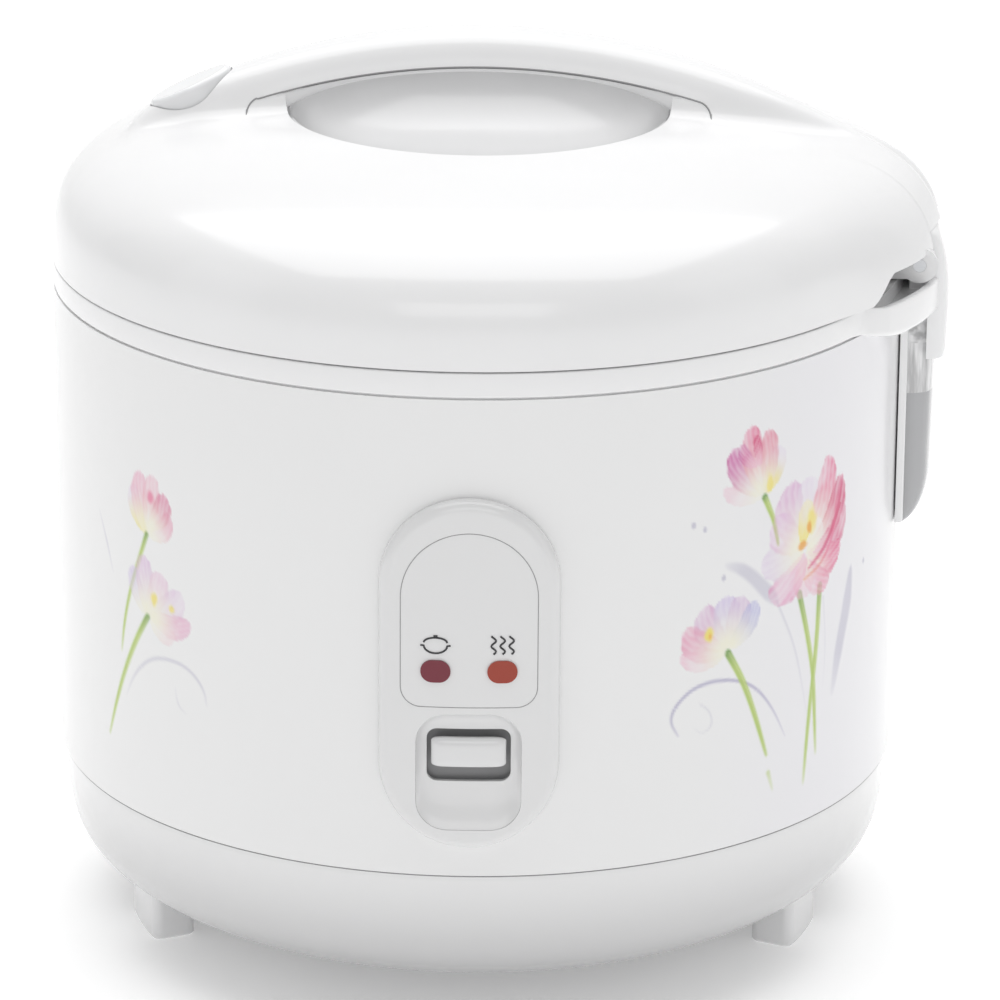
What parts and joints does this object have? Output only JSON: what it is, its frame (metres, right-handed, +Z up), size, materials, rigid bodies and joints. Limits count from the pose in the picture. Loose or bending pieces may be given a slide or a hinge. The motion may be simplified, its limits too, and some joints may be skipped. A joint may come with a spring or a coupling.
{
  "type": "rice cooker",
  "caption": "Round electric rice cooker with a domed hinged lid, arched carry handle, front switch panel, cooking pan and dew cup.",
  "frame": {"origin": "on the table, on the axis of the cooking pan, level with the undersides of the feet", "axes": "+Z up, -Y towards the control panel, +X towards the lid's hinge"},
  "size_m": [0.2755, 0.2666, 0.2828],
  "materials": {
    "white_plastic": "high gloss",
    "enamel_shell": "gloss enamel with a printed flower pattern",
    "button_plastic": "gloss",
    "knob_plastic": "gloss",
    "label_film": "satin film",
    "red_lens": "clear tinted",
    "amber_lens": "clear tinted",
    "lamp_glass": "clear",
    "board": "matt laminate",
    "clear_plastic": "clear polycarbonate",
    "cast_aluminium": "cast",
    "sheet_aluminium": "satin",
    "pan_coating": "non-stick coated",
    "steel": "plain",
    "heater_wrap": "woven glass tape",
    "rubber": "matt silicone",
    "dark_plastic": "matt",
    "brass": "plated",
    "fuse_body": "ceramic"
  },
  "bodies": {
    "base": {"bottom_housing": "white_plastic", "bottom_plate": "steel", "bottom_screws": "steel", "collector_mount": "white_plastic", "control_bezel": "white_plastic", "cook_lamp": "lamp_glass", "cook_lens": "red_lens", "foot_front_left": "white_plastic", "foot_front_right": "white_plastic", "foot_rear_left": "white_plastic", "foot_rear_right": "white_plastic", "heat_shield": "steel", "heater_band": "heater_wrap", "heater_element": "steel", "heater_plate": "cast_aluminium", "hinge_cover": "white_plastic", "hinge_pin": "steel", "hinge_spring": "steel", "inlet_housing": "white_plastic", "inlet_pin_earth": "brass", "inlet_pin_live": "brass", "inlet_pin_neutral": "brass", "inner_liner": "sheet_aluminium", "inner_pan": "pan_coating", "label_plate": "label_film", "lamp_board": "board", "lever_bracket": "steel", "lever_pin": "steel", "magnet_guide": "steel", "micro_switch": "dark_plastic", "outer_shell": "enamel_shell", "release_spring": "steel", "sensor_spring": "steel", "standoffs": "steel", "terminal_block": "dark_plastic", "thermal_fuse": "fuse_body", "upper_frame": "white_plastic", "warm_lamp": "lamp_glass", "warm_lens": "amber_lens"},
    "lid": {"outer_lid": "white_plastic", "grip_bowl": "white_plastic", "handle_underside": "white_plastic", "lid_frame": "white_plastic", "lid_plate": "sheet_aluminium", "inner_lid": "sheet_aluminium", "inner_lid_knob": "rubber", "lid_gasket": "rubber", "vent_grommet": "rubber", "button_spring": "steel", "lid_screws": "steel"},
    "release_button": {"release_button": "button_plastic"},
    "latch_hook": {"latch_hook": "button_plastic"},
    "steam_vent_cap": {"steam_vent_cap": "white_plastic"},
    "switch_knob": {"switch_knob": "knob_plastic", "push_rod": "knob_plastic"},
    "cook_lever": {"cook_lever": "steel"},
    "magnet_plunger": {"magnet_plunger": "steel"},
    "thermal_sensor": {"sensor_cup": "sheet_aluminium"},
    "dew_collector": {"dew_collector": "clear_plastic"}
  },
  "joints": [
    {"name": "lid_hinge", "type": "hinge", "parent": "base", "child": "lid", "pos_m": [0.134, 0, 0.218], "axis": [0, 1, 0], "range_deg": [0, 72]},
    {"name": "release_press", "type": "slide", "parent": "lid", "child": "release_button", "axis": [0.4305, 0, -0.9026], "range_m": [0, 0.003], "stiffness_N_per_m": 800, "deforming": ["button_spring"]},
    {"name": "latch_slide", "type": "slide", "parent": "lid", "child": "latch_hook", "axis": [1, 0, 0], "range_m": [0, 0.0025]},
    {"name": "vent_cap_lift", "type": "slide", "parent": "lid", "child": "steam_vent_cap", "axis": [0, 0, 1], "range_m": [0, 0.012]},
    {"name": "knob_press", "type": "slide", "parent": "base", "child": "switch_knob", "axis": [0, 0, -1], "range_m": [0, 0.0044], "stiffness_N_per_m": 400, "deforming": ["release_spring"]},
    {"name": "lever_tilt", "type": "hinge", "parent": "base", "child": "cook_lever", "pos_m": [0, -0.045, 0.04], "axis": [1, 0, 0], "range_deg": [0, 3.45]},
    {"name": "magnet_lift", "type": "slide", "parent": "base", "child": "magnet_plunger", "axis": [0, 0, 1], "range_m": [0, 0.0028]},
    {"name": "sensor_press", "type": "slide", "parent": "base", "child": "thermal_sensor", "axis": [0, 0, -1], "range_m": [0, 0.002], "stiffness_N_per_m": 1000, "deforming": ["sensor_spring"]},
    {"name": "cup_slide", "type": "slide", "parent": "base", "child": "dew_collector", "axis": [0, 0, -1], "range_m": [0, 0.04]}
  ],
  "couplings": [
    {"joint": "latch_slide", "follows": "release_press", "ratio": 0.8333},
    {"joint": "lever_tilt", "follows": "knob_press", "rad_per_m": 13.605},
    {"joint": "magnet_lift", "follows": "knob_press", "ratio": 0.612}
  ]
}
